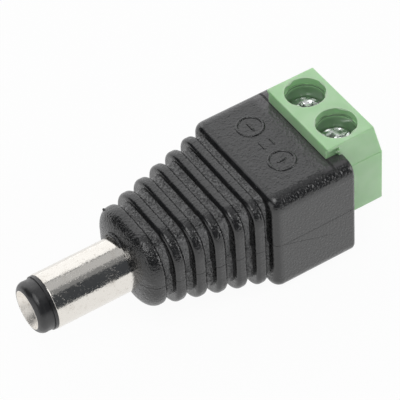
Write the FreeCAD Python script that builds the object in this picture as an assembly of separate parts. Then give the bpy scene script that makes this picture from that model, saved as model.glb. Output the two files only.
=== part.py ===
import FreeCAD, Part
import math
import os

# A dc barrel plug with a two-pole screw clamp block, moulded together in a ribbed housing.
# The origin is on the barrel's axis at the seat, where the barrel leaves the housing's nose.
# The barrel points to -X, the wire entries to +X, the screws to +Z. All sizes are in millimetres.

# Barrel contact
barrel_length = 9.95
sleeve_diameter = 5.5
sleeve_wall = 0.4
sleeve_edge = 0.1
sleeve_tail = 2.4
relief_length = 0.5
relief_depth = 0.2
shoulder_diameter = 6.3
shoulder_length = 0.8
tip_ring_diameter = 5.14
tip_ring_length = 1.5
tip_face_diameter = 4.04
tip_round_length = 0.85
tip_lip_diameter = 5.4
tip_lip_length = 0.3
contact_bore = 2.1
contact_diameter = 2.7
contact_bore_depth = 12.4
flare_diameter = 3.9
flare_rim = 0.08
flare_outer_length = 0.8
flare_inner_length = 1.1
rivet_diameter = 4.0
rivet_length = 0.5
cup_diameter = 1.7
cup_length = 1.8
cup_depth = 1.3
washer_diameter = 5.1
washer_length = 0.6
tag_thickness = 0.4
tag_ring_wall = 0.5
tag_width = 1.4
tag_length = 3.4
tag_seat_depth = 0.15

# Housing: a nose and five ribs on a tapered neck, then a block-shaped body
rib_pitch = 1.98
rib_count = 5
rib_width = 1.2
rib_edge = 0.45
valley_top_depth = 0.4
valley_bottom_depth = 0.8
valley_side_depth = 1.1
valley_corner_cut = 0.9
mould_step = 0.3
parting_height = 0.25
neck_lift = 0.2
nose_centre = 1.53
nose_length = 2.15
nose_dome_length = 1.5
nose_dome_inset = 2.3
dome_sections = 6
nose_width = 9.96
nose_height = 8.6
nose_corner = 3.5
last_rib_width = 13.2
last_rib_height = 10.8
last_rib_corner = 2.05
body_gap = 0.5
body_length = 9.17
body_width = 14.0
body_height = 11.8
body_corner = 1.4
body_front_edge = 1.0
body_rear_edge = 0.4

# Clamp block
pole_pitch = 5.08
block_depth = 6.18
block_top = 7.3
block_bottom = -2.5
block_seat_depth = 1.78
slope_foot = 3.65
slope_run = 0.94
block_edge = 0.12
side_step = 0.05
side_groove_length = 1.3
side_groove_depth = 0.35
side_groove_lip = 0.35
anchor_length = 2.5
anchor_width = 8.4
anchor_bottom = -1.6
anchor_top = 2.6
waist_length = 0.9
waist_depth = 0.6
well_centre = 2.7
well_diameter = 4.0
well_step_depth = 0.73
window_width = 2.4
window_height = 2.1
window_funnel = 0.35

# Clamp mechanism, one set for each pole
slide_clearance = 0.1
thread_clearance = 0.05
screw_pitch = 0.45
cage_length = 4.0
cage_width = 3.6
cage_wall = 0.45
cage_floor = 0.6
cage_plate = 1.2
cage_edge = 0.35
wire_space = 1.8
screw_diameter = 2.5
head_diameter = 3.6
head_height = 1.3
head_edge = 0.15
head_gap = 0.05
slot_width = 0.55
slot_depth = 0.7
cross_width = 0.6
cross_length = 2.1
cross_depth = 0.9
bar_thickness = 0.6
bar_width = 1.9
bar_height = 0.2
bar_seat = 0.4
pin_width = 1.0
pin_length = 1.6

# Links between the contacts and the clamp bars
conductor_diameter = 0.8
insulation_diameter = 1.5
link_first_bend = 7.8
link_second_bend = 12.6
bare_end = 0.6
solder_diameter = 1.6
solder_length = 1.3
cup_solder_length = 0.5
cup_solder_end_diameter = 1.2
solder_film = 0.05
conductor_end_gap = 0.2
bend_share = 0.45

# Places worked out from the sizes above
tip_x = -barrel_length
sleeve_front = tip_x + tip_ring_length + tip_lip_length
sleeve_radius = sleeve_diameter / 2
sleeve_bore_radius = sleeve_radius - sleeve_wall
contact_radius = contact_diameter / 2
washer_front = sleeve_tail
rivet_front = washer_front + washer_length
cup_front = rivet_front + rivet_length
cup_mouth = cup_front + cup_length
tag_front = sleeve_tail - tag_thickness
tag_ring_bore = sleeve_radius - tag_seat_depth
tag_tail_top = tag_ring_bore + tag_ring_wall
tag_tail_low = tag_tail_top - tag_thickness
last_rib_centre = nose_centre + rib_count * rib_pitch
body_front = last_rib_centre + rib_width / 2 + body_gap
body_rear = body_front + body_length
block_rear = body_rear - block_seat_depth
block_front = block_rear + block_depth
block_half_width = pole_pitch
well_x = block_rear + well_centre
bar_top = bar_height + bar_thickness
cage_inner_height = bar_thickness + wire_space
cage_rise = wire_space - 2 * slide_clearance
cage_bottom = bar_top + slide_clearance - cage_inner_height - cage_floor
cage_top = bar_top + slide_clearance + cage_plate
head_bottom = cage_top + cage_rise + head_gap
cavity_bottom = cage_bottom - head_gap
cavity_top = head_bottom
cavity_length = cage_length + 2 * slide_clearance
cavity_width = cage_width + 2 * slide_clearance
bar_front = well_x + cavity_length / 2 + bar_seat
anchor_front = block_rear - anchor_length
pin_front = anchor_front - pin_length
conductor_radius = conductor_diameter / 2
link_height = bar_top + solder_film + conductor_radius
sleeve_link_y = tag_tail_low - solder_film - conductor_radius
poles = {"positive": -pole_pitch / 2, "negative": pole_pitch / 2}

x_axis = FreeCAD.Vector(1, 0, 0)
z_axis = FreeCAD.Vector(0, 0, 1)
origin = FreeCAD.Vector(0, 0, 0)
close_enough = 1e-4
cut_past = 1.0


def box(x_range, y_range, z_range):
    """A block between two corners."""
    corner = FreeCAD.Vector(x_range[0], y_range[0], z_range[0])
    return Part.makeBox(
        x_range[1] - x_range[0],
        y_range[1] - y_range[0],
        z_range[1] - z_range[0],
        corner,
    )


def rod(x_start, x_end, radius, y=0.0, z=0.0):
    """A cylinder along X."""
    return Part.makeCylinder(radius, x_end - x_start, FreeCAD.Vector(x_start, y, z), x_axis)


def upright(x, y, z_start, z_end, radius):
    """A cylinder along Z."""
    return Part.makeCylinder(radius, z_end - z_start, FreeCAD.Vector(x, y, z_start), z_axis)


def turned(edges):
    """A solid turned about the barrel's axis, from edges in the XY plane."""
    profile = Part.Face(Part.Wire(edges))
    return profile.revolve(origin, x_axis, 360)


def outline(points):
    """Straight edges through (x, radius) points."""
    corners = [FreeCAD.Vector(x, radius, 0) for x, radius in points]
    return [Part.LineSegment(a, b).toShape() for a, b in zip(corners, corners[1:])]


def arc_edge(start, middle, end):
    """An arc through three (x, radius) points."""
    corners = [FreeCAD.Vector(x, radius, 0) for x, radius in (start, middle, end)]
    return Part.Arc(*corners).toShape()


def rounded_section(x, half_width, half_height, corner, lift=0.0):
    """A closed rounded rectangle across the X axis, centred on it or lifted above it."""
    flat_y = half_width - corner
    flat_z = half_height - corner
    slant = corner * math.sqrt(0.5)
    corners = []
    for sign_y, sign_z in ((1, 1), (-1, 1), (-1, -1), (1, -1)):
        side = FreeCAD.Vector(x, sign_y * half_width, sign_z * flat_z)
        middle = FreeCAD.Vector(x, sign_y * (flat_y + slant), sign_z * (flat_z + slant))
        cap = FreeCAD.Vector(x, sign_y * flat_y, sign_z * half_height)
        ends = [side, cap] if sign_y * sign_z > 0 else [cap, side]
        corners.append(Part.Arc(ends[0], middle, ends[1]).toShape())
    closed = []
    for index, arc in enumerate(corners):
        following = corners[(index + 1) % len(corners)]
        start = arc.Vertexes[-1].Point
        end = following.Vertexes[0].Point
        closed.append(arc)
        closed.append(Part.LineSegment(start, end).toShape())
    section = Part.Wire(closed)
    section.translate(FreeCAD.Vector(0, 0, lift))
    return section


def slab(section, length):
    """A prism that runs from a section towards +X."""
    return Part.Face(section).extrude(FreeCAD.Vector(length, 0, 0))


def edges_across(shape, x):
    """The edges of a shape that lie in the plane across X at the given place."""
    found = []
    for edge in shape.Edges:
        if max(abs(edge.BoundBox.XMin - x), abs(edge.BoundBox.XMax - x)) < close_enough:
            found.append(edge)
    return found


def taper(x):
    """The half width, half height and corner radius of the neck's envelope at x."""
    share = (x - nose_centre) / (last_rib_centre - nose_centre)
    half_width = (nose_width + share * (last_rib_width - nose_width)) / 2
    half_height = (nose_height + share * (last_rib_height - nose_height)) / 2
    corner = nose_corner + share * (last_rib_corner - nose_corner)
    return half_width, half_height, corner


def neck_section(x, inset):
    """The neck's envelope at x, taken in by the inset."""
    half_width, half_height, corner = taper(x)
    return rounded_section(x, half_width - inset, half_height - inset, corner - inset, neck_lift)


def core_section(x, side_depth):
    """The neck's core at x; the valleys are shallow on top and deeper at the bottom and the sides."""
    half_width, half_height, corner = taper(x)
    half_core = half_height - (valley_top_depth + valley_bottom_depth) / 2
    lift = neck_lift + (valley_bottom_depth - valley_top_depth) / 2
    return rounded_section(x, half_width - side_depth, half_core, corner - valley_corner_cut, lift)


def nose():
    """The first rib, domed towards the barrel; the dome's profile is a quarter of an ellipse."""
    sections = []
    for step in range(dome_sections + 1):
        angle = step / dome_sections * math.pi / 2
        x = nose_dome_length * (1 - math.cos(angle))
        inset = nose_dome_inset * (1 - math.sin(angle))
        section = neck_section(nose_centre, inset)
        section.translate(FreeCAD.Vector(x - nose_centre, 0, 0))
        sections.append(section)
    dome = Part.makeLoft(sections, True)
    crest = neck_section(nose_centre, 0.0)
    crest.translate(FreeCAD.Vector(nose_dome_length - nose_centre, 0, 0))
    rear = slab(crest, nose_length - nose_dome_length)
    rear = rear.makeFillet(rib_edge, edges_across(rear, nose_length))
    return dome.fuse(rear)


def rib(number):
    """One rounded rib of the neck; its size follows the taper."""
    centre = nose_centre + number * rib_pitch
    section = neck_section(centre, 0.0)
    section.translate(FreeCAD.Vector(-rib_width / 2, 0, 0))
    plate = slab(section, rib_width)
    ends = edges_across(plate, centre - rib_width / 2) + edges_across(plate, centre + rib_width / 2)
    return plate.makeFillet(rib_edge, ends)


def valley_core():
    """The neck between the ribs: the lower mould half is a little proud of the upper one."""
    halves = []
    reach = body_width
    for side_depth, low, high in (
        (valley_side_depth, parting_height, reach),
        (valley_side_depth - mould_step, -reach, parting_height),
    ):
        ends = [core_section(nose_centre, side_depth), core_section(body_front + body_gap, side_depth)]
        whole = Part.makeLoft(ends, True, True)
        half_space = box((0.0, body_rear), (-reach, reach), (low, high))
        halves.append(whole.common(half_space))
    return halves[0].fuse(halves[1])


def body():
    """The block-shaped rear of the housing."""
    section = rounded_section(body_front, body_width / 2, body_height / 2, body_corner)
    shell = slab(section, body_length)
    shell = shell.makeFillet(body_front_edge, edges_across(shell, body_front))
    return shell.makeFillet(body_rear_edge, edges_across(shell, body_rear))


def housing(inner_pieces):
    """The over-moulded housing, poured round the pieces that it holds."""
    ribs = [rib(number) for number in range(1, rib_count + 1)]
    shape = valley_core().fuse([nose(), body()] + ribs).removeSplitter()
    bore = rod(tip_x, tip_x + contact_bore_depth, contact_bore / 2)
    return shape.cut([block_blank(), bore] + inner_pieces).removeSplitter()


def block_blank():
    """The clamp block before its wells and chambers are cut."""
    half = block_half_width
    low_part = [
        FreeCAD.Vector(block_rear, -half, block_bottom),
        FreeCAD.Vector(block_front, -half, block_bottom),
        FreeCAD.Vector(block_front, -half, slope_foot),
        FreeCAD.Vector(block_rear, -half, slope_foot),
    ]
    head_half = half - side_step
    head_part = [
        FreeCAD.Vector(block_rear, -head_half, slope_foot),
        FreeCAD.Vector(block_front, -head_half, slope_foot),
        FreeCAD.Vector(block_front - slope_run, -head_half, block_top),
        FreeCAD.Vector(block_rear, -head_half, block_top),
    ]
    low = Part.Face(Part.makePolygon(low_part + low_part[:1])).extrude(FreeCAD.Vector(0, 2 * half, 0))
    head = Part.Face(Part.makePolygon(head_part + head_part[:1]))
    head = head.extrude(FreeCAD.Vector(0, 2 * head_half, 0))
    top_edges = [e for e in head.Edges if e.BoundBox.ZMax > slope_foot + close_enough]
    low_edges = [e for e in low.Edges if e.BoundBox.ZMin < slope_foot - close_enough]
    blank = low.makeFillet(block_edge, low_edges).fuse(head.makeFillet(block_edge, top_edges))
    for side in (-1, 1):
        inner = side * (half - side_groove_depth)
        outer = side * (half + side_groove_depth)
        groove = box(
            (block_rear - block_edge, block_rear + side_groove_length),
            sorted((inner, outer)),
            (block_bottom - block_edge, block_top - side_groove_lip),
        )
        blank = blank.cut(groove)
    return blank.fuse(block_anchor())


def block_anchor():
    """The waisted tail that the housing is moulded round, with the two bars through it."""
    half = anchor_width / 2
    tail = box((anchor_front, block_rear + block_edge * 2), (-half, half), (anchor_bottom, anchor_top))
    waist_start = anchor_front + (anchor_length - waist_length) / 2
    waist = (waist_start, waist_start + waist_length)
    ring = box(waist, (-half, half), (anchor_bottom, anchor_top))
    kept = box(
        waist,
        (-half + waist_depth, half - waist_depth),
        (anchor_bottom + waist_depth, anchor_top - waist_depth),
    )
    return tail.cut(ring.cut(kept))


def window(pole_y):
    """The wire entry in the block's front wall, with a funnel mouth."""
    bottom = bar_height + block_edge - window_height
    wall_start = well_x + cavity_length / 2
    half = window_width / 2
    hole = box(
        (wall_start - slide_clearance, block_front + slide_clearance),
        (pole_y - half, pole_y + half),
        (bottom, bottom + window_height),
    )
    mouths = []
    for x, spread in ((block_front - window_funnel, 0.0), (block_front, window_funnel)):
        corners = [
            FreeCAD.Vector(x, pole_y - half - spread, bottom - spread),
            FreeCAD.Vector(x, pole_y + half + spread, bottom - spread),
            FreeCAD.Vector(x, pole_y + half + spread, bottom + window_height + spread),
            FreeCAD.Vector(x, pole_y - half - spread, bottom + window_height + spread),
        ]
        mouths.append(Part.makePolygon(corners + corners[:1]))
    return hole.fuse(Part.makeLoft(mouths, True, True))


def terminal_block(bars):
    """The two-pole clamp block: screw wells, chambers for the cages and wire windows."""
    shape = block_blank()
    cuts = list(bars)
    for pole_y in poles.values():
        cuts.append(upright(well_x, pole_y, block_top - well_step_depth, block_top + cut_past, well_diameter / 2))
        cuts.append(upright(well_x, pole_y, cavity_top, block_top, head_diameter / 2 + slide_clearance))
        cuts.append(
            box(
                (well_x - cavity_length / 2, well_x + cavity_length / 2),
                (pole_y - cavity_width / 2, pole_y + cavity_width / 2),
                (cavity_bottom, cavity_top),
            )
        )
        cuts.append(window(pole_y))
    return shape.cut(cuts).removeSplitter()


def contact_bar(pole_y):
    """The flat bar that a wire is clamped to, with its solder pin behind the block."""
    half = bar_width / 2
    bar = box((anchor_front, bar_front), (pole_y - half, pole_y + half), (bar_height, bar_top))
    pin = box(
        (pin_front, anchor_front),
        (pole_y - pin_width / 2, pole_y + pin_width / 2),
        (bar_height, bar_top),
    )
    return bar.fuse(pin).removeSplitter()


def clamp_cage(pole_y):
    """The cage that rises with the screw and pulls the wire up against the bar."""
    half = cage_width / 2
    ends = (well_x - cage_length / 2, well_x + cage_length / 2)
    loop = box(ends, (pole_y - half, pole_y + half), (cage_bottom, cage_top))
    long_edges = [e for e in loop.Edges if abs(e.BoundBox.XLength - cage_length) < close_enough]
    loop = loop.makeFillet(cage_edge, long_edges)
    opening = box(
        (ends[0] - cut_past, ends[1] + cut_past),
        (pole_y - half + cage_wall, pole_y + half - cage_wall),
        (cage_bottom + cage_floor, cage_top - cage_plate),
    )
    hole = upright(well_x, pole_y, bar_top, cage_top + cut_past, screw_diameter / 2 + thread_clearance)
    return loop.cut([opening, hole])


def clamp_screw(pole_y):
    """The captive screw: it turns in place on the bar, and its head takes a flat or a cross driver."""
    head_top = head_bottom + head_height
    head = upright(well_x, pole_y, head_bottom, head_top, head_diameter / 2)
    rim = [e for e in head.Edges if e.BoundBox.ZMin > head_top - close_enough]
    head = head.makeFillet(head_edge, rim)
    shank = upright(well_x, pole_y, bar_top + thread_clearance, head_bottom, screw_diameter / 2)
    half_slot = slot_width / 2
    reach = head_diameter
    slot = box(
        (well_x - reach, well_x + reach),
        (pole_y - half_slot, pole_y + half_slot),
        (head_top - slot_depth, head_top + cut_past),
    )
    arm = cross_length / 2
    half_cross = cross_width / 2
    cross_low = head_top - cross_depth
    along = box(
        (well_x - arm, well_x + arm),
        (pole_y - half_cross, pole_y + half_cross),
        (cross_low, head_top + cut_past),
    )
    across = box(
        (well_x - half_cross, well_x + half_cross),
        (pole_y - arm, pole_y + arm),
        (cross_low, head_top + cut_past),
    )
    return head.fuse(shank).cut([slot, along, across]).removeSplitter()


def barrel_sleeve():
    """The turned outer contact, with the shoulder that locks it in the housing."""
    edge = sleeve_edge
    relief_radius = sleeve_radius - relief_depth
    shoulder_end = relief_length + shoulder_length
    rounded = arc_edge(
        (sleeve_front, sleeve_radius - edge),
        (sleeve_front + edge * (1 - math.sqrt(0.5)), sleeve_radius - edge * (1 - math.sqrt(0.5))),
        (sleeve_front + edge, sleeve_radius),
    )
    rest = outline(
        [
            (sleeve_front + edge, sleeve_radius),
            (0.0, sleeve_radius),
            (0.0, relief_radius),
            (relief_length, relief_radius),
            (relief_length, shoulder_diameter / 2),
            (shoulder_end, shoulder_diameter / 2),
            (shoulder_end, sleeve_radius),
            (tag_front, sleeve_radius),
            (tag_front, tag_ring_bore),
            (sleeve_tail, tag_ring_bore),
            (sleeve_tail, sleeve_bore_radius),
            (sleeve_front, sleeve_bore_radius),
            (sleeve_front, sleeve_radius - edge),
        ]
    )
    return turned([rounded] + rest)


def tip_insulator():
    """The black tip ring and the tube behind it that keeps the two contacts apart."""
    ring_radius = tip_ring_diameter / 2
    face_radius = tip_face_diameter / 2
    rise = ring_radius - face_radius
    shoulder = arc_edge(
        (tip_x, face_radius),
        (tip_x + tip_round_length * (1 - math.sqrt(0.5)), face_radius + rise * math.sqrt(0.5)),
        (tip_x + tip_round_length, ring_radius),
    )
    rest = outline(
        [
            (tip_x + tip_round_length, ring_radius),
            (tip_x + tip_ring_length, ring_radius),
            (tip_x + tip_ring_length, tip_lip_diameter / 2),
            (sleeve_front, tip_lip_diameter / 2),
            (sleeve_front, sleeve_bore_radius),
            (sleeve_tail, sleeve_bore_radius),
            (sleeve_tail, contact_radius),
            (tip_x + flare_outer_length, contact_radius),
            (tip_x, flare_diameter / 2),
            (tip_x, face_radius),
        ]
    )
    return turned([shoulder] + rest)


def centre_contact():
    """The inner contact: flared mouth, blind bore for the jack's pin, rivet head and solder cup."""
    bore_radius = contact_bore / 2
    edges = outline(
        [
            (tip_x, flare_diameter / 2 - flare_rim),
            (tip_x, flare_diameter / 2),
            (tip_x + flare_outer_length, contact_radius),
            (rivet_front, contact_radius),
            (rivet_front, rivet_diameter / 2),
            (cup_front, rivet_diameter / 2),
            (cup_front, cup_diameter / 2),
            (cup_mouth, cup_diameter / 2),
            (cup_mouth, conductor_radius),
            (cup_mouth - cup_depth, conductor_radius),
            (cup_mouth - cup_depth, 0.0),
            (tip_x + contact_bore_depth, 0.0),
            (tip_x + contact_bore_depth, bore_radius),
            (tip_x + flare_inner_length, bore_radius),
            (tip_x, flare_diameter / 2 - flare_rim),
        ]
    )
    return turned(edges)


def rear_insulator():
    """The washer that insulates the rivet head from the sleeve and its tag."""
    return rod(washer_front, rivet_front, washer_diameter / 2).cut(
        rod(washer_front, rivet_front, contact_radius)
    )


def sleeve_tag():
    """The ring on the sleeve's tail, with a flat solder tag that points back."""
    ring = rod(tag_front, sleeve_tail, tag_tail_top).cut(rod(tag_front, sleeve_tail, tag_ring_bore))
    tail = box(
        (tag_front, tag_front + tag_length),
        (tag_tail_low, tag_tail_top),
        (-tag_width / 2, tag_width / 2),
    )
    tail = tail.cut(rod(tag_front, sleeve_tail, tag_ring_bore))
    return ring.fuse(tail).removeSplitter()


def bend_radius(points):
    """The largest radius that suits both bends of a link's route."""
    radii = []
    for before, corner, after in zip(points, points[1:], points[2:]):
        turn = (corner - before).getAngle(after - corner)
        shorter = min(corner.distanceToPoint(before), after.distanceToPoint(corner))
        radii.append(bend_share * shorter / math.tan(turn / 2))
    return min(radii)


def round_along(points, radius, bend):
    """A round solid along straight runs joined by tangent arcs of one bend radius."""
    runs = []
    start = points[0]
    for before, corner, after in zip(points, points[1:], points[2:]):
        incoming = (corner - before).normalize()
        outgoing = (after - corner).normalize()
        turn = incoming.getAngle(outgoing)
        setback = bend * math.tan(turn / 2)
        arc_start = corner - incoming * setback
        centre = corner + (outgoing - incoming).normalize() * (bend / math.cos(turn / 2))
        disc = Part.Face(Part.Wire(Part.makeCircle(radius, arc_start, incoming)))
        runs.append(Part.makeCylinder(radius, start.distanceToPoint(arc_start), start, incoming))
        runs.append(disc.revolve(centre, incoming.cross(outgoing), math.degrees(turn)))
        start = corner + outgoing * setback
    last = points[-1] - start
    runs.append(Part.makeCylinder(radius, last.Length, start, last))
    return runs[0].fuse(runs[1:]).removeSplitter()


def link_points(start_x, start_y, pole_y, end_x):
    """The corners of a link's route from its contact to its clamp bar."""
    return [
        FreeCAD.Vector(start_x, start_y, 0),
        FreeCAD.Vector(link_first_bend, start_y, 0),
        FreeCAD.Vector(link_second_bend, pole_y, link_height),
        FreeCAD.Vector(end_x, pole_y, link_height),
    ]


def link(start_x, start_y, pole_y, bare_from):
    """A conductor from a contact to a clamp bar's pin, and the insulation over its middle."""
    end_x = anchor_front - conductor_end_gap
    whole = link_points(start_x, start_y, pole_y, end_x)
    bend = bend_radius(whole)
    conductor = round_along(whole, conductor_radius, bend)
    sleeve = round_along(whole, insulation_diameter / 2, bend)
    reach = body_width
    covered = box((bare_from, pin_front - bare_end), (-reach, reach), (-reach, reach))
    return conductor, sleeve.common(covered).cut(conductor)


def bar_solder(pole_y, conductor, bar):
    """The solder that joins a conductor to a clamp bar's pin."""
    middle = (pin_front + anchor_front) / 2
    bead = rod(
        middle - solder_length / 2,
        middle + solder_length / 2,
        solder_diameter / 2,
        pole_y,
        link_height,
    )
    return bead.cut([conductor, bar])


def cup_solder(conductor):
    """The solder round the conductor at the mouth of the centre contact's cup."""
    cone = Part.makeCone(
        cup_diameter / 2,
        cup_solder_end_diameter / 2,
        cup_solder_length,
        FreeCAD.Vector(cup_mouth, 0, 0),
        x_axis,
    )
    return cone.cut(conductor)


def tag_solder(conductor, tag):
    """The solder that joins a conductor to the sleeve's tag."""
    end = tag_front + tag_length
    bead = rod(end - solder_length, end, solder_diameter / 2, sleeve_link_y, 0.0)
    return bead.cut([conductor, tag])


def build():
    """Every piece of the plug by name."""
    pieces = {
        "barrel_sleeve": barrel_sleeve(),
        "tip_insulator": tip_insulator(),
        "centre_contact": centre_contact(),
        "rear_insulator": rear_insulator(),
        "sleeve_tag": sleeve_tag(),
    }
    starts = {
        "positive": (cup_mouth - cup_depth, 0.0, cup_mouth + bare_end),
        "negative": (tag_front + tag_length - solder_length, sleeve_link_y, tag_front + tag_length + bare_end),
    }
    for pole, pole_y in poles.items():
        start_x, start_y, bare_from = starts[pole]
        bar = contact_bar(pole_y)
        conductor, insulation = link(start_x, start_y, pole_y, bare_from)
        pieces["contact_bar_" + pole] = bar
        pieces["link_conductor_" + pole] = conductor
        pieces["link_insulation_" + pole] = insulation
        pieces["bar_solder_" + pole] = bar_solder(pole_y, conductor, bar)
    pieces["cup_solder"] = cup_solder(pieces["link_conductor_positive"])
    pieces["tag_solder"] = tag_solder(pieces["link_conductor_negative"], pieces["sleeve_tag"])
    pieces["housing"] = housing(list(pieces.values()))
    bars = [pieces["contact_bar_" + pole] for pole in poles]
    pieces["terminal_block"] = terminal_block(bars)
    for pole, pole_y in poles.items():
        pieces["clamp_cage_" + pole] = clamp_cage(pole_y)
        pieces["clamp_screw_" + pole] = clamp_screw(pole_y)
    return pieces


os.makedirs("parts", exist_ok=True)
for name, shape in build().items():
    shape.exportStep("parts/" + name + ".step")
    print(name, shape.isValid(), len(shape.Solids), round(shape.Volume, 3))
print("screw turns for the whole rise", round(cage_rise / screw_pitch, 2))
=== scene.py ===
import math

import bpy
from mathutils import Matrix, Vector


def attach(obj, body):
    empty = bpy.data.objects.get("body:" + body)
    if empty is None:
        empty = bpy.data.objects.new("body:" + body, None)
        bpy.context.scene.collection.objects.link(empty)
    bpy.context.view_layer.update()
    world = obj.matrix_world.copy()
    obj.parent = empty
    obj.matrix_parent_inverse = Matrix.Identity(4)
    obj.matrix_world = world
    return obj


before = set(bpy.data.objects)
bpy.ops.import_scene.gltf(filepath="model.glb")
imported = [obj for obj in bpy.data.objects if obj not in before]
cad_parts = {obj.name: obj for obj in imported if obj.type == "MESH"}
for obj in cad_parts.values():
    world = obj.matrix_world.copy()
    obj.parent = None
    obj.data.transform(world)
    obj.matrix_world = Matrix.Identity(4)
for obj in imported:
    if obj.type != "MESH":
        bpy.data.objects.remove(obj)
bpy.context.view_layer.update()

# Places on the plug, in metres
MM = 0.001
BODY_TOP = 5.9 * MM
BLOCK_TOP = 7.3 * MM
FLOOR = -5.9 * MM
PARTING = 0.25 * MM
NOSE_CENTRE = 1.53 * MM
BODY_FRONT = 12.53 * MM
BLOCK_FRONT = 19.92 * MM
SLEEVE_RADIUS = 2.75 * MM

# Ribs of the neck
RIB_PITCH = 1.98 * MM
RIB_HALF = 0.6 * MM
RIB_COUNT = 5
NECK_HALF_WIDTH = 4.98 * MM
NECK_FLARE = 1.62 * MM

# Driver wells and screws
WELL_X = 22.62 * MM
POLE_Y = 2.54 * MM
WELL_RADIUS = 2.0 * MM
WELL_STEP = 0.73 * MM
STEP_HEIGHT = BLOCK_TOP - WELL_STEP
THREAD_PITCH = 0.45 * MM
SHANK_TOP = 3.6 * MM

# Flow line on the near side of the body
FLOW_START = 13.3 * MM
FLOW_LENGTH = 5.9 * MM

UP = (0, 0, 1)


def grey(value):
    return (value, value, value)


def scaled(colour, factor):
    return tuple(c * factor for c in colour)


# Materials

class Tree:
    """A material's node tree. Most methods add a node and return its output socket."""

    def __init__(self, name):
        self.material = bpy.data.materials.new(name)
        self.material.use_nodes = True
        self.nodes = self.material.node_tree.nodes
        self.links = self.material.node_tree.links
        self.nodes.clear()
        self.out = self.nodes.new("ShaderNodeOutputMaterial")
        self.shader = self.nodes.new("ShaderNodeBsdfPrincipled")
        self.links.new(self.shader.outputs["BSDF"], self.out.inputs["Surface"])
        coordinates = self.nodes.new("ShaderNodeTexCoord")
        self.place = coordinates.outputs["Object"]
        self.facing = coordinates.outputs["Normal"]
        self.parts = {}

    def feed(self, socket, value):
        if isinstance(value, bpy.types.NodeSocket):
            self.links.new(value, socket)
        else:
            socket.default_value = value

    def axis(self, name, of_normal=False):
        """One coordinate of the place, or of the direction that the surface faces."""
        if of_normal not in self.parts:
            self.parts[of_normal] = self.nodes.new("ShaderNodeSeparateXYZ")
            source = self.facing if of_normal else self.place
            self.links.new(source, self.parts[of_normal].inputs[0])
        return self.parts[of_normal].outputs[name]

    def math(self, operation, a, b=0.0, c=0.0):
        node = self.nodes.new("ShaderNodeMath")
        node.operation = operation
        for socket, value in zip(node.inputs, (a, b, c)):
            self.feed(socket, value)
        return node.outputs[0]

    def product(self, first, *others):
        for other in others:
            first = self.math("MULTIPLY", first, other)
        return first

    def total(self, first, *others):
        for other in others:
            first = self.math("ADD", first, other)
        return first

    def minus(self, a, b):
        return self.math("SUBTRACT", a, b)

    def range(self, value, low, high, to_low, to_high):
        node = self.nodes.new("ShaderNodeMapRange")
        node.interpolation_type = "SMOOTHSTEP"
        for socket, item in zip(node.inputs, (value, low, high, to_low, to_high)):
            self.feed(socket, item)
        return node.outputs[0]

    def rise(self, value, low, high, top=1.0):
        return self.range(value, low, high, 0.0, top)

    def fall(self, value, low, high):
        return self.range(value, low, high, 1.0, 0.0)

    def near(self, value, centre, half_width, soft):
        """1 where value is within half_width of centre, falling to 0 over soft."""
        distance = self.math("ABSOLUTE", self.minus(value, centre))
        return self.fall(distance, half_width, half_width + soft)

    def stretched(self, scale):
        node = self.nodes.new("ShaderNodeMapping")
        self.links.new(self.place, node.inputs["Vector"])
        node.inputs["Scale"].default_value = scale
        return node.outputs[0]

    def noise(self, scale, detail=2.0, roughness=0.5, vector=None, distortion=0.0):
        node = self.nodes.new("ShaderNodeTexNoise")
        self.links.new(vector or self.place, node.inputs["Vector"])
        node.inputs["Scale"].default_value = scale
        node.inputs["Detail"].default_value = detail
        node.inputs["Roughness"].default_value = roughness
        node.inputs["Distortion"].default_value = distortion
        return node.outputs["Fac"]

    def wander(self, scale, detail, width):
        """A length that drifts about zero from place to place."""
        return self.product(self.minus(self.noise(scale, detail), 0.5), width)

    def cells(self, scale, feature="F1"):
        node = self.nodes.new("ShaderNodeTexVoronoi")
        node.feature = feature
        self.links.new(self.place, node.inputs["Vector"])
        node.inputs["Scale"].default_value = scale
        return node.outputs["Distance"]

    def from_pole_axis(self):
        """Distance from the nearer screw's axis."""
        x = self.minus(self.axis("X"), WELL_X)
        y = self.minus(self.math("ABSOLUTE", self.axis("Y")), POLE_Y)
        return self.math("SQRT", self.total(self.product(x, x), self.product(y, y)))

    def mix(self, share, a, b):
        node = self.nodes.new("ShaderNodeMix")
        node.data_type = "RGBA"
        self.feed(node.inputs[0], share)
        for socket, colour in ((node.inputs[6], a), (node.inputs[7], b)):
            if not isinstance(colour, bpy.types.NodeSocket):
                colour = (*colour, 1.0)
            self.feed(socket, colour)
        return node.outputs[2]

    def layered(self, base, layers):
        """Lay colours over base in turn, each by its own share."""
        for share, colour in layers:
            base = self.mix(share, base, colour)
        return base

    def bump(self, height, strength, distance, normal=None):
        node = self.nodes.new("ShaderNodeBump")
        self.feed(node.inputs["Height"], height)
        self.feed(node.inputs["Strength"], strength)
        node.inputs["Distance"].default_value = distance
        if normal is not None:
            self.links.new(normal, node.inputs["Normal"])
        return node.outputs["Normal"]

    def set(self, **values):
        for name, value in values.items():
            self.feed(self.shader.inputs[name.replace("_", " ")], value)


def flow_line(t):
    """The thin curved line that the flowing plastic left on the body's near side."""
    share = t.math("DIVIDE", t.minus(t.axis("X"), FLOW_START), FLOW_LENGTH)
    curve = t.product(share, t.math("MULTIPLY_ADD", share, 0.55 * MM, -2.35 * MM))
    wave = t.math("MULTIPLY_ADD", t.math("SINE", t.product(share, 5.0)), 0.10 * MM, 0.28 * MM)
    line = t.near(t.minus(t.axis("Z"), t.total(curve, wave)), 0.0, 0.018 * MM, 0.028 * MM)
    on_near_side = t.fall(t.axis("Y", True), -0.98, -0.9)
    return t.product(line, on_near_side, t.near(share, 0.5, 0.42, 0.10))


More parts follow.
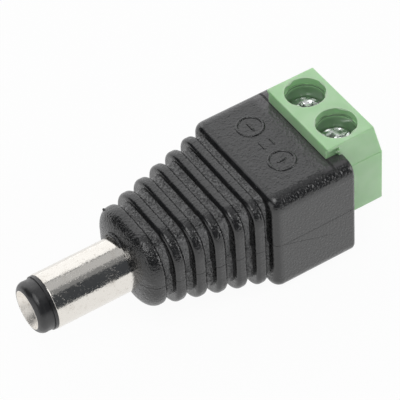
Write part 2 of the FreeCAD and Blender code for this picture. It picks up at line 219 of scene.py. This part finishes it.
def black_moulding(name, colour, roughness, valley=True):
    """Satin black moulding: a finely grained skin, coarser sparkling grain between the ribs,
    painted paler there as light caught in the grooves, dust with painted glints, painted shade on
    forward faces, painted light on the sides and front edge, the mould's parting line and a flow
    line."""
    t = Tree(name)
    x, z = t.axis("X"), t.axis("Z")
    facing_x = t.axis("X", True)
    across = t.math("ABSOLUTE", t.axis("Y", True))
    upward = t.math("ABSOLUTE", t.axis("Z", True))
    cloud = t.noise(700, 3.0, 0.6)
    fine = t.noise(4000, 1.0, 0.5)
    coarse = t.noise(4000, 2.0, 0.6)

    # Grooves between the ribs, their sides, and the ledge at the mould step, which are painted
    # paler
    #     as light caught between the ribs. The count of pitches starts ahead of the whole plug, so
    #     that it is nowhere below zero.
    count_start = NOSE_CENTRE - 10 * RIB_PITCH
    phase = t.math("FRACT", t.math("DIVIDE", t.minus(x, count_start), RIB_PITCH))
    from_crest = t.minus(0.5, t.math("ABSOLUTE", t.minus(phase, 0.5)))
    on_neck = t.product(
        t.rise(x, NOSE_CENTRE, NOSE_CENTRE + 0.4 * MM),
        t.fall(x, BODY_FRONT, BODY_FRONT + 0.1 * MM),
    )
    groove = t.product(t.rise(from_crest, 0.29, 0.33), on_neck) if valley else 0.0
    groove_side = t.product(groove, t.rise(across, 0.55, 0.8))
    upper_half = t.rise(z, PARTING - 0.02 * MM, PARTING + 0.02 * MM)
    lit_upper_side = t.product(groove_side, upper_half)
    at_parting = t.near(z, PARTING, 0.03 * MM, 0.02 * MM)
    lit_ledge = t.product(at_parting, t.rise(upward, 0.6, 0.9))

    # Rounded edges and the nose, for the grain; painted shade on what faces forward, and painted
    # light on the body's sides, the top beside the block and the body's front edge
    rounding = t.rise(t.product(across, upward), 0.22, 0.42)
    nose = t.fall(x, 0.7 * MM, 1.4 * MM)
    shaded_flank = t.fall(facing_x, -0.75, -0.3)
    lit_body_side = t.product(
        t.rise(x, BODY_FRONT + 0.2 * MM, BODY_FRONT + 0.9 * MM),
        t.rise(across, 0.85, 0.97, 0.75),
    )
    lit_beside_block = t.product(
        t.rise(x, BLOCK_FRONT - 1.5 * MM, BLOCK_FRONT - 0.6 * MM, 0.8),
        t.rise(upward, 0.9, 0.98),
    )
    lit_front_edge = t.product(
        t.rise(upward, 0.76, 0.84),
        t.fall(upward, 0.88, 0.95),
        t.fall(facing_x, -0.25, -0.12),
        t.rise(x, BODY_FRONT - 0.1 * MM, BODY_FRONT),
    )

    # Dust with painted glints, and lines
    dust_and_glints = t.product(t.fall(t.cells(2100), 0.055, 0.09), t.rise(t.noise(1600, 1.0), 0.53, 0.6))
    uneven_height = t.total(z, t.wander(500, 1.0, 0.12 * MM))
    parting_line = t.product(
        t.near(uneven_height, PARTING, 0.022 * MM, 0.026 * MM),
        t.fall(upward, 0.4, 0.7),
    )
    seam = t.product(
        t.near(x, BLOCK_FRONT, 0.10 * MM, 0.06 * MM),
        t.rise(z, 5.5 * MM, 5.75 * MM),
    )
    line = t.math("MAXIMUM", parting_line, seam)
    line = t.math("MAXIMUM", line, t.product(flow_line(t), 0.8))

    base = t.mix(t.rise(cloud, 0.35, 0.68), colour, scaled(colour, 1.35))
    base = t.layered(base, (
        (t.rise(fine, 0.35, 0.7, 0.5), scaled(colour, 2.0)),
        # Painted light: the grooves, their sides, their upper halves and the ledge are painted
        # paler over their coarse grain
        (t.product(groove, t.rise(coarse, 0.42, 0.62, 0.9)), grey(0.13)),
        (t.product(groove_side, t.range(coarse, 0.4, 0.62, 0.45, 0.8)), grey(0.12)),
        (t.product(lit_upper_side, t.range(coarse, 0.4, 0.62, 0.5, 0.95)), grey(0.30)),
        (t.product(lit_ledge, groove), grey(0.16)),
        # Painted light: the body's sides are painted paler
        (lit_body_side, grey(0.055)),
        # Painted light: the body's top just in front of the block is painted paler, against the
        # block's shade
        (lit_beside_block, (0.085, 0.080, 0.085)),
        # Painted shade: faces turned forward, toward the nose, are painted near black
        (t.product(shaded_flank, 0.85), grey(0.003)),
        # Painted highlight: the rounding along the body's front edge is painted paler
        (lit_front_edge, grey(0.085)),
        # Pale specks: dust, and painted glints
        (t.product(dust_and_glints, 0.75), grey(0.22)),
        (t.product(line, 0.8), grey(0.004)),
    ))
    gloss = t.range(t.noise(1300, 4.0, 0.6), 0.3, 0.7, roughness - 0.05, roughness + 0.06)
    gloss = t.total(gloss, t.product(groove, 0.05), t.product(line, 0.5))

    skin = t.bump(fine, t.range(facing_x, -0.45, -0.08, 0.3, 1.0), 0.055 * MM)
    depth = t.total(t.product(groove, 0.85), t.product(rounding, 0.22), t.product(nose, 0.45))
    grain = t.bump(coarse, t.math("MINIMUM", depth, 1.0), 0.17 * MM, skin)
    cut = t.bump(t.minus(1.0, line), 0.5, 0.04 * MM, grain)
    t.set(Base_Color=base, Roughness=gloss, Normal=cut, Specular_IOR_Level=0.8)
    return t.material


def green_moulding(name, colour):
    """Pale green moulding: translucent and satin, deeper in patches, with a painted highlight on
    the well rims, painted shade on the walls in the wells and a painted shadow line under each
    step."""
    t = Tree(name)
    z = t.axis("Z")
    deep = tuple(c * f for c, f in zip(colour, (0.93, 0.97, 0.93)))
    pale = tuple(min(1.0, c * f + 0.02) for c, f in zip(colour, (1.05, 1.01, 1.06)))
    specks = t.product(t.fall(t.cells(2600), 0.05, 0.08), t.rise(t.noise(1900, 1.0), 0.58, 0.63))

    from_well = t.from_pole_axis()
    within_wall = t.fall(from_well, WELL_RADIUS + 0.01 * MM, WELL_RADIUS + 0.05 * MM)
    ragged = t.total(from_well, t.wander(1100, 3.0, 0.16 * MM))
    # Painted highlight: a pale ragged line along each well's rim
    rim = t.product(
        t.near(ragged, WELL_RADIUS + 0.03 * MM, 0.04 * MM, 0.05 * MM),
        t.rise(z, BLOCK_TOP - 0.05 * MM, BLOCK_TOP - 0.01 * MM),
    )
    # Painted shade on the walls inside the wells, below the step
    shaded_wall = t.product(within_wall, t.fall(z, STEP_HEIGHT - 0.6 * MM, STEP_HEIGHT - 0.05 * MM))
    uneven_height = t.total(z, t.wander(900, 3.0, 0.22 * MM))
    # Painted shadow: a ragged dark line just under each well's step
    step_shadow = t.product(
        t.near(uneven_height, STEP_HEIGHT - 0.07 * MM, 0.05 * MM, 0.06 * MM),
        within_wall,
    )

    base = t.mix(t.rise(t.noise(420), 0.3, 0.7), deep, pale)
    base = t.layered(base, (
        (t.product(specks, 0.25), (0.30, 0.46, 0.28)),
        # Painted highlight on the rims
        (t.product(rim, 0.22), (0.72, 0.88, 0.66)),
        (t.product(shaded_wall, 0.75), (0.22, 0.34, 0.22)),
        (t.product(step_shadow, 0.75), (0.09, 0.15, 0.09)),
    ))
    gloss = t.range(t.noise(1500, 3.0), 0.3, 0.7, 0.30, 0.40)
    gloss = t.minus(gloss, t.product(shaded_wall, 0.18))
    grain = t.bump(t.noise(4200), 0.25, 0.03 * MM)
    waves = t.bump(t.noise(1400), 0.25, 0.06 * MM, grain)
    t.set(Base_Color=base, Roughness=gloss, Normal=waves, Specular_IOR_Level=1.0)
    t.set(
        Subsurface_Weight=0.4,
        Subsurface_Scale=0.9 * MM,
        Subsurface_Radius=(0.55, 1.0, 0.5),
    )
    return t.material


def plated(name, colour, stain, roughness, specks=0.5, along_x=True):
    """Nickel plating over turned metal: faint turning marks, small stains, pits and dull specks."""
    t = Tree(name)
    cloud = t.noise(700, 4.0, 0.6, distortion=0.4)
    grain = t.noise(5000, 1.5, 0.6)
    stretch = (1.0, 0.12, 0.12) if along_x else (0.12, 0.12, 1.0)
    marks = t.noise(2400, 2.0, 0.5, t.stretched(stretch))
    pits = t.product(t.fall(t.cells(4200), 0.08, 0.3), t.rise(t.noise(1300), 0.44, 0.56))
    dull = t.product(
        t.rise(grain, 0.54, 0.66),
        t.range(t.noise(900, 3.0, 0.6), 0.40, 0.62, 0.15, 1.0),
    )
    base = t.mix(t.rise(cloud, 0.5, 0.8, 0.35), colour, stain)
    base = t.mix(t.product(t.rise(grain, 0.62, 0.72, 0.7), specks), base, stain)
    rough = t.range(cloud, 0.35, 0.75, roughness, roughness + 0.07)
    rough = t.total(rough, t.product(dull, 0.22))
    normal = t.bump(t.noise(520), 0.04, 0.45 * MM)
    for height, strength, distance in (
        (grain, 0.8, 0.010 * MM),
        (marks, 0.06, 0.03 * MM),
        (pits, 0.3, 0.02 * MM),
    ):
        normal = t.bump(height, strength, distance, normal)
    t.set(Base_Color=base, Roughness=rough, Normal=normal, Metallic=1.0)
    return t.material


def threaded_steel(name):
    """Plated steel screw: a bright, dished head with dents and scratches, and a threaded shank."""
    t = Tree(name)
    z = t.axis("Z")
    scratches = t.noise(5000, 3.0, 0.6, t.stretched((0.25, 1.0, 1.0)))
    worn = t.rise(t.noise(1500, 4.0, 0.65), 0.4, 0.7, 0.5)
    base = t.mix(worn, (0.94, 0.96, 0.94), (0.78, 0.82, 0.79))
    rough = t.range(scratches, 0.35, 0.7, 0.16, 0.32)
    turns = t.math("SINE", t.product(z, 2 * math.pi / THREAD_PITCH))
    shank = t.fall(z, SHANK_TOP, SHANK_TOP + 0.1 * MM)
    normal = t.bump(t.product(turns, shank), 0.6, 0.08 * MM)
    for height, strength, distance in (
        (scratches, 0.4, 0.04 * MM),
        (t.product(t.from_pole_axis(), 1 / MM), 1.0, 0.20 * MM),
        (t.cells(1400, "SMOOTH_F1"), 1.0, 0.26 * MM),
    ):
        normal = t.bump(height, strength, distance, normal)
    t.set(Base_Color=base, Roughness=rough, Normal=normal, Metallic=1.0)
    return t.material


def plain_moulding(name, colour, roughness, specular=0.5):
    """Small moulded or dipped piece: a little mottled, with a fine grain."""
    t = Tree(name)
    pale = tuple(c * 1.3 + 0.004 for c in colour)
    base = t.mix(t.rise(t.noise(1100, 3.0, 0.6), 0.3, 0.7), colour, pale)
    gloss = t.range(t.noise(2300, 3.0), 0.3, 0.7, roughness - 0.05, roughness + 0.06)
    normal = t.bump(t.noise(5200), 0.18, 0.04 * MM)
    t.set(Base_Color=base, Roughness=gloss, Normal=normal, Specular_IOR_Level=specular)
    return t.material


BLACK = (0.012, 0.012, 0.0125)
housing_plastic = black_moulding("housing_plastic", BLACK, 0.24)
sign_plastic = black_moulding("sign_plastic", BLACK, 0.24, valley=False)
tip_plastic = plain_moulding("tip_plastic", (0.010, 0.010, 0.011), 0.34, specular=0.8)
washer_plastic = plain_moulding("washer_plastic", grey(0.04), 0.5)
block_plastic = green_moulding("block_plastic", (0.47, 0.76, 0.42))
insulation_red = plain_moulding("insulation_red", (0.42, 0.03, 0.02), 0.45)
insulation_black = plain_moulding("insulation_black", grey(0.02), 0.45)
screw_steel = threaded_steel("screw_steel")
sleeve_nickel = plated("sleeve_nickel", (0.79, 0.76, 0.71), (0.50, 0.45, 0.39), 0.13)
contact_nickel = plated(
    "contact_nickel", (0.90, 0.86, 0.80), (0.66, 0.60, 0.54), 0.42, specks=0.3)
bar_nickel = plated(
    "bar_nickel", (0.74, 0.72, 0.68), (0.45, 0.42, 0.38), 0.22, along_x=False)
cage_nickel = plated(
    "cage_nickel", (0.72, 0.71, 0.68), (0.40, 0.38, 0.35), 0.24, along_x=False)
tag_brass = plated("tag_brass", (0.72, 0.70, 0.64), (0.42, 0.38, 0.30), 0.25)
conductor_metal = plated("conductor_metal", (0.80, 0.46, 0.32), (0.45, 0.22, 0.14), 0.25)
solder_metal = plated("solder_metal", grey(0.66), grey(0.42), 0.32)

finish = {
    "housing": housing_plastic,
    "terminal_block": block_plastic,
    "barrel_sleeve": sleeve_nickel,
    "tip_insulator": tip_plastic,
    "centre_contact": contact_nickel,
    "rear_insulator": washer_plastic,
    "sleeve_tag": tag_brass,
    "link_insulation_positive": insulation_red,
    "link_insulation_negative": insulation_black,
    "cup_solder": solder_metal,
    "tag_solder": solder_metal,
}
for pole in ("positive", "negative"):
    finish["contact_bar_" + pole] = bar_nickel
    finish["link_conductor_" + pole] = conductor_metal
    finish["bar_solder_" + pole] = solder_metal
    finish["clamp_cage_" + pole] = cage_nickel
    finish["clamp_screw_" + pole] = screw_steel
for node, material in finish.items():
    for material_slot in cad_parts[node].material_slots:
        material_slot.link = "OBJECT"
        material_slot.material = material


# Small pieces of the moulding

def mesh_piece(name, vertices, faces, material, body="plug", smooth=True):
    mesh = bpy.data.meshes.new(name)
    mesh.from_pydata(vertices, [], faces)
    mesh.polygons.foreach_set("use_smooth", [smooth] * len(mesh.polygons))
    mesh.materials.append(material)
    piece = bpy.data.objects.new(name, mesh)
    bpy.context.scene.collection.objects.link(piece)
    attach(piece, body)


def ridge(name, points, closed, width, height, material):
    """A low rounded ridge along points on a level surface, its foot sunk a little into it."""
    up = Vector(UP)
    arch_points = 7
    end_taper = 0.35
    count = len(points)
    vertices = []
    for index, point in enumerate(points):
        here = Vector(point)
        if closed:
            ahead = Vector(points[(index + 1) % count])
            behind = Vector(points[index - 1])
        else:
            ahead = Vector(points[min(index + 1, count - 1)])
            behind = Vector(points[max(index - 1, 0)])
        side = (ahead - behind).normalized().cross(up).normalized()
        taper = end_taper if not closed and index in (0, count - 1) else 1.0
        arch = []
        for step in range(arch_points):
            angle = math.pi * step / (arch_points - 1)
            sideways = side * (width / 2 * math.cos(angle) * taper)
            arch.append(here + sideways + up * (height * taper * math.sin(angle)))
        vertices += [arch[0] - up * height] + arch + [arch[-1] - up * height]
    size = arch_points + 2
    faces = []
    for index in range(count if closed else count - 1):
        here, following = index * size, (index + 1) % count * size
        for step in range(size):
            beside = (step + 1) % size
            faces.append((here + step, following + step, following + beside, here + beside))
    if not closed:
        faces.append(tuple(range(size)))
        faces.append(tuple(range(count * size - 1, (count - 1) * size - 1, -1)))
    mesh_piece(name, vertices, faces, material)


# Polarity signs on the body's top
RING_RADIUS = 1.27 * MM
RING_WIDTH = 0.30 * MM
BAR_WIDTH = 0.28 * MM
THIN_BAR = 0.16 * MM
RAISED = 0.10 * MM
MINUS = (16.62 * MM, 2.96 * MM)
PLUS = (16.55 * MM, -2.46 * MM)


def sign_ring(name, centre):
    count = 72
    points = []
    for index in range(count):
        angle = 2 * math.pi * index / count
        points.append((
            centre[0] + RING_RADIUS * math.cos(angle),
            centre[1] + RING_RADIUS * math.sin(angle),
            BODY_TOP,
        ))
    ridge(name, points, True, RING_WIDTH, RAISED, sign_plastic)


def sign_bar(name, start, end, width, height):
    count = 8
    a, b = Vector((*start, BODY_TOP)), Vector((*end, BODY_TOP))
    points = [a.lerp(b, index / (count - 1)) for index in range(count)]
    ridge(name, points, False, width, height, sign_plastic)


sign_ring("sign_minus_ring", MINUS)
sign_bar(
    "sign_minus_bar",
    (MINUS[0], MINUS[1] - 0.76 * MM), (MINUS[0], MINUS[1] + 0.68 * MM),
    BAR_WIDTH, RAISED,
)
sign_ring("sign_plus_ring", PLUS)
sign_bar(
    "sign_plus_long",
    (PLUS[0] - 0.52 * MM, PLUS[1]), (PLUS[0] + 0.52 * MM, PLUS[1]),
    BAR_WIDTH, RAISED,
)
sign_bar(
    "sign_plus_cross",
    (PLUS[0], PLUS[1] - 0.5 * MM), (PLUS[0], PLUS[1] + 0.5 * MM),
    BAR_WIDTH * 0.6, RAISED * 0.22,
)
sign_bar(
    "sign_dc_front",
    (16.05 * MM, -0.49 * MM), (16.05 * MM, 0.77 * MM),
    THIN_BAR, RAISED * 0.7,
)
sign_bar(
    "sign_dc_rear",
    (17.16 * MM, -0.43 * MM), (17.16 * MM, 0.78 * MM),
    THIN_BAR, RAISED * 0.7,
)


def barrel_lip():
    """The flap of plastic that the mould left on the barrel's upper side, its outer edge beaded.

    The profile gives, from the barrel outward, a share of the flap's width and its height
    in millimetres in front of the nose."""
    profile = (
        (0.0, -0.2), (0.0, 0.13), (0.45, 0.15), (0.58, 0.07),
        (0.72, 0.24), (0.86, 0.26), (1.0, 0.10), (1.0, -0.5),
    )
    count = 40
    start, end = math.radians(-44), math.radians(12)
    rows = len(profile)
    vertices, faces = [], []
    for index in range(count + 1):
        share = index / count
        angle = start + (end - start) * share
        swell = math.sin(math.pi / 2 * min(share * 4.0, 1.0)) * (1 - share ** 4)
        width = (0.12 + 0.40 * swell) * MM
        thin = 1 - 0.45 * share ** 3
        for across, lift in profile:
            radius = SLEEVE_RADIUS - 0.01 * MM + width * across
            x = -lift * MM * (thin if lift > 0 else 1.0)
            vertices.append((x, -radius * math.sin(angle), radius * math.cos(angle)))
    for index in range(count):
        here, following = index * rows, (index + 1) * rows
        for row in range(rows):
            beside = (row + 1) % rows
            faces.append((here + row, following + row, following + beside, here + beside))
    faces.append(tuple(range(rows)))
    faces.append(tuple(range(len(vertices) - 1, len(vertices) - rows - 1, -1)))
    mesh_piece("barrel_lip", vertices, faces, sign_plastic)


barrel_lip()


def nub(name, centre, size, material, squash, lobes):
    """A small uneven lump, such as a trace of flash."""
    rows, count = 9, 14
    cx, cy, cz = centre
    vertices = [(cx, cy, cz + size * squash[2])]
    for row in range(1, rows):
        polar = math.pi * row / rows
        for index in range(count):
            angle = 2 * math.pi * index / count
            uneven = lobes * math.sin(2 * angle + 3 * polar) + lobes * 0.5 * math.cos(5 * angle)
            r = size * (1 + math.sin(polar) * uneven)
            vertices.append((
                cx + r * squash[0] * math.sin(polar) * math.cos(angle),
                cy + r * squash[1] * math.sin(polar) * math.sin(angle),
                cz + r * squash[2] * math.cos(polar),
            ))
    vertices.append((cx, cy, cz - size * squash[2]))
    last = len(vertices) - 1
    faces = []
    for index in range(count):
        beside = (index + 1) % count
        faces.append((0, 1 + index, 1 + beside))
        faces.append((last, last - count + beside, last - count + index))
    for row in range(rows - 2):
        upper, lower = 1 + row * count, 1 + (row + 1) * count
        for index in range(count):
            beside = (index + 1) % count
            faces.append((upper + index, lower + index, lower + beside, upper + beside))
    mesh_piece(name, vertices, faces, material)


nub(
    "nose_flash", (1.00 * MM, 4.11 * MM, 3.07 * MM), 0.18 * MM,
    sign_plastic, (0.8, 1.0, 1.1), 0.08,
)
nub(
    "nose_bump", (0.20 * MM, -1.74 * MM, 3.33 * MM), 0.20 * MM,
    sign_plastic, (0.9, 1.0, 1.2), 0.08,
)
nub(
    "block_burr", (21.07 * MM, -5.04 * MM, 6.50 * MM), 0.13 * MM,
    block_plastic, (2.2, 0.5, 0.7), 0.18,
)


def well_flash(name, pole_y):
    """Uneven flash just under a driver well's rim, reaching in at a few places that differ
    from one well to the other."""
    count = 120
    start_angle = pole_y * 700
    rest = 0.06 * MM
    reach = 0.16 * MM
    points = []
    for index in range(count):
        angle = 2 * math.pi * index / count
        jag = max(0.0, math.sin(5 * angle + start_angle) * math.sin(2 * angle + 0.6))
        r = WELL_RADIUS + rest - reach * jag
        points.append((
            WELL_X + r * math.cos(angle),
            pole_y + r * math.sin(angle),
            BLOCK_TOP - 0.07 * MM,
        ))
    ridge(name, points, True, 0.12 * MM, 0.055 * MM, block_plastic)


well_flash("well_flash_positive", -POLE_Y)
well_flash("well_flash_negative", POLE_Y)


def half_width(x):
    """Half the neck's width over its rib crests."""
    return NECK_HALF_WIDTH + NECK_FLARE * (x - NOSE_CENTRE) / (RIB_COUNT * RIB_PITCH)


def step_fillet(name, start, end, side):
    """The rounded foot where the upper mould half's groove meets the fuller lower half.

    Each row gives a depth below the rib crests and a height over the parting plane, in
    millimetres. The ends are sunk into the ribs."""
    rows = (
        (0.80, -0.06), (0.79, 0.0), (0.86, 0.10), (0.98, 0.22),
        (1.11, 0.44), (1.25, 0.44), (1.25, -0.06),
    )
    sunk = 0.1 * MM
    size = len(rows)
    vertices = []
    for x in (start - sunk, end + sunk):
        for depth, height in rows:
            vertices.append((x, side * (half_width(x) - depth * MM), PARTING + height * MM))
    faces = [
        (row, (row + 1) % size, size + (row + 1) % size, size + row)
        for row in range(size)
    ]
    faces += [tuple(range(size - 1, -1, -1)), tuple(range(size, 2 * size))]
    if side < 0:
        faces = [face[::-1] for face in faces]
    mesh_piece(name, vertices, faces, housing_plastic, smooth=False)


for number in range(1, RIB_COUNT + 2):
    groove_start = NOSE_CENTRE + (number - 1) * RIB_PITCH + RIB_HALF
    groove_end = NOSE_CENTRE + number * RIB_PITCH - RIB_HALF if number <= RIB_COUNT else BODY_FRONT
    step_fillet("step_near_%d" % number, groove_start, groove_end, -1)
    step_fillet("step_far_%d" % number, groove_start, groove_end, 1)


# Lamps

def lamp(name, place, aim, size, radiance):
    """A soft rectangular lamp of even brightness that faces a point."""
    data = bpy.data.lights.new(name, "AREA")
    data.shape = "RECTANGLE"
    data.size, data.size_y = size
    data.energy = radiance * math.pi * size[0] * size[1]
    lamp_object = bpy.data.objects.new(name, data)
    bpy.context.scene.collection.objects.link(lamp_object)
    turn = (Vector(place) - Vector(aim)).to_track_quat("Z", "Y").to_matrix().to_4x4()
    lamp_object.matrix_world = Matrix.Translation(place) @ turn


PLUG_MIDDLE = (0.010, 0.0, 0.0)
lamp("far_softbox", (0.15, 0.30, 0.30), (0.15, 0.0, 0.30), (0.62, 0.61), 1.18)
lamp("ceiling_card", (0.14, 0.03, 0.34), (0.14, 0.03, 0.0), (0.48, 0.22), 0.50)
lamp("near_card", (0.14, -0.15, 0.34), (0.14, -0.15, 0.0), (0.48, 0.14), 0.18)
lamp("high_card", (-0.15, -0.13, 0.46), PLUG_MIDDLE, (0.32, 0.30), 2.5)
lamp("left_card", (-0.44, -0.06, 0.12), PLUG_MIDDLE, (0.40, 0.22), 1.15)
lamp("right_card", (0.46, -0.26, 0.17), PLUG_MIDDLE, (0.30, 0.28), 3.3)


# Floor and world: plain white where they are seen, and otherwise only what the lamps give

WHITE = (1, 1, 1, 1)
WHITE_STRENGTH = 1.0


def background_rays(nodes, links):
    """1 for camera, glossy and transmission rays, which see the plain white background."""
    path = nodes.new("ShaderNodeLightPath")
    seen = path.outputs["Is Camera Ray"]
    for kind in ("Is Glossy Ray", "Is Transmission Ray"):
        either = nodes.new("ShaderNodeMath")
        either.operation = "MAXIMUM"
        links.new(seen, either.inputs[0])
        links.new(path.outputs[kind], either.inputs[1])
        seen = either.outputs[0]
    return seen


def make_floor():
    """A wide sheet of paper. Its white leaves a small share to the lamps, for the shadow."""
    half = 3.0
    rows = 12
    white_share = 0.95
    vertices, faces = [], []
    for i in range(rows + 1):
        for j in range(rows + 1):
            vertices.append((-half + 2 * half * i / rows, -half + 2 * half * j / rows, FLOOR))
    for i in range(rows):
        for j in range(rows):
            a = i * (rows + 1) + j
            faces.append((a, a + rows + 1, a + rows + 2, a + 1))
    mesh = bpy.data.meshes.new("floor")
    mesh.from_pydata(vertices, [], faces)
    floor = bpy.data.objects.new("floor", mesh)
    bpy.context.scene.collection.objects.link(floor)
    t = Tree("floor_paper")
    t.set(Base_Color=(0.95, 0.95, 0.95, 1.0), Roughness=0.9, Specular_IOR_Level=0.0)
    glow = t.nodes.new("ShaderNodeEmission")
    glow.inputs["Color"].default_value = WHITE
    glow.inputs["Strength"].default_value = WHITE_STRENGTH
    blend = t.nodes.new("ShaderNodeMixShader")
    t.links.new(t.product(background_rays(t.nodes, t.links), white_share), blend.inputs[0])
    t.links.new(t.shader.outputs[0], blend.inputs[1])
    t.links.new(glow.outputs[0], blend.inputs[2])
    t.links.new(blend.outputs[0], t.out.inputs["Surface"])
    mesh.materials.append(t.material)


def make_world():
    """White to the camera, and a dim cool glow to everything else."""
    world = bpy.data.worlds.new("studio")
    bpy.context.scene.world = world
    world.use_nodes = True
    nodes, links = world.node_tree.nodes, world.node_tree.links
    nodes.clear()
    dim = nodes.new("ShaderNodeBackground")
    dim.inputs["Color"].default_value = (0.90, 0.98, 1.10, 1)
    dim.inputs["Strength"].default_value = 0.06
    plain = nodes.new("ShaderNodeBackground")
    plain.inputs["Color"].default_value = WHITE
    plain.inputs["Strength"].default_value = WHITE_STRENGTH
    path = nodes.new("ShaderNodeLightPath")
    choose = nodes.new("ShaderNodeMixShader")
    out = nodes.new("ShaderNodeOutputWorld")
    links.new(path.outputs["Is Camera Ray"], choose.inputs[0])
    links.new(dim.outputs[0], choose.inputs[1])
    links.new(plain.outputs[0], choose.inputs[2])
    links.new(choose.outputs[0], out.inputs["Surface"])


def make_camera():
    """A long lens that looks from the angle of the photograph, turned a little about its axis."""
    data = bpy.data.cameras.new("camera")
    data.sensor_width = 36.0
    data.lens = 218.32
    data.clip_start = 0.01
    data.clip_end = 20.0
    camera = bpy.data.objects.new("camera", data)
    bpy.context.scene.collection.objects.link(camera)
    azimuth, elevation, roll = (math.radians(v) for v in (-29.647, 45.924, -4.218))
    distance = 0.229434
    target = Vector((10.432, 2.59, 0.0)) * MM
    back = Vector((
        math.sin(azimuth) * math.cos(elevation),
        -math.cos(azimuth) * math.cos(elevation),
        math.sin(elevation),
    ))
    level = Vector((math.cos(azimuth), math.sin(azimuth), 0.0))
    rise = back.cross(level)
    right = level * math.cos(roll) + rise * math.sin(roll)
    above = -level * math.sin(roll) + rise * math.cos(roll)
    turn = Matrix((right, above, back)).transposed().to_4x4()
    camera.matrix_world = Matrix.Translation(target + back * distance) @ turn
    bpy.context.scene.camera = camera


make_floor()
make_world()
make_camera()
bpy.context.scene.view_settings.view_transform = "Standard"
